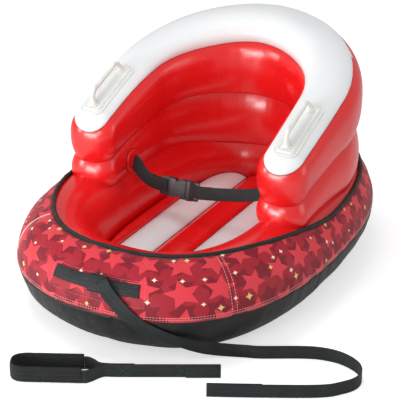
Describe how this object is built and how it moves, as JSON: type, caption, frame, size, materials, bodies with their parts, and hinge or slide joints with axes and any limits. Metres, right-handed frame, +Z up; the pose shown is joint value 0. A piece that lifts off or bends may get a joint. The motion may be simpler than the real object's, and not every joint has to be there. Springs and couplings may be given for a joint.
{
  "type": "inflatable sled",
  "caption": "Child's inflatable snow sled: covered air ring and channelled floor, wrap-round backrest, grab handles, lap belt with side-release buckle, tow strap and loose pull strap.",
  "frame": {"origin": "on the ground under the middle of the sled, straps left out", "axes": "+Z up, -Y towards the front of the sled where it is towed, +X to the right as seen from the front, which is the rider's left; pieces are named left and right as seen from the front"},
  "size_m": [0.8087, 1.031, 0.4626],
  "materials": {
    "red_vinyl": "glossy inflated vinyl with fine wrinkles at the welds",
    "white_vinyl": "satin inflated vinyl",
    "print_fabric": "woven polyester with a plain star print, coated",
    "black_fabric": "slick coated nylon",
    "binding_tape": "matt woven tape",
    "black_webbing": "woven polypropylene webbing",
    "buckle_plastic": "moulded acetal",
    "handle_plastic": "satin moulded plastic",
    "valve_plastic": "soft moulded vinyl",
    "padded_sleeve": "padded fabric sleeve with lengthwise stitching"
  },
  "bodies": {
    "sled": {"base_tube": "red_vinyl", "floor_centre_channel": "red_vinyl", "floor_side_channel_left": "red_vinyl", "floor_side_channel_right": "red_vinyl", "floor_white_channel_left": "white_vinyl", "floor_white_channel_right": "white_vinyl", "cover_front_panel": "print_fabric", "cover_left_panel": "print_fabric", "cover_right_panel": "print_fabric", "cover_shell": "black_fabric", "cover_binding": "binding_tape", "backrest_lower_tube": "red_vinyl", "backrest_upper_tube": "red_vinyl", "top_skin": "white_vinyl", "handle_pad_left": "handle_plastic", "handle_pad_right": "handle_plastic", "handle_grip_left": "handle_plastic", "handle_grip_right": "handle_plastic", "belt_patch_left": "red_vinyl", "belt_patch_right": "red_vinyl", "belt_strap_left": "black_webbing", "belt_strap_right": "black_webbing", "buckle_socket": "buckle_plastic", "tow_anchor_strip": "black_webbing", "tow_hitch": "black_webbing", "tow_strap": "black_webbing", "pull_strap": "black_webbing", "pull_return": "black_webbing", "pull_grip": "padded_sleeve", "base_valve_body": "valve_plastic", "back_valve_body": "valve_plastic"},
    "plug": {"buckle_plug": "buckle_plastic", "buckle_prong_upper": "buckle_plastic", "buckle_prong_lower": "buckle_plastic"},
    "base_cap": {"base_valve_cap": "valve_plastic"},
    "back_cap": {"back_valve_cap": "valve_plastic"}
  },
  "joints": [
    {"name": "buckle_release", "type": "slide", "parent": "sled", "child": "plug", "axis": [1, 0, 0], "range_m": [0, 0.038], "deforming": ["buckle_prong_upper", "buckle_prong_lower", "belt_strap_right"]},
    {"name": "base_cap_pull", "type": "slide", "parent": "sled", "child": "base_cap", "axis": [0, 0.9315, 0.3638], "range_m": [0, 0.02]},
    {"name": "back_cap_pull", "type": "slide", "parent": "sled", "child": "back_cap", "axis": [0, 1, 0], "range_m": [0, 0.02]}
  ]
}
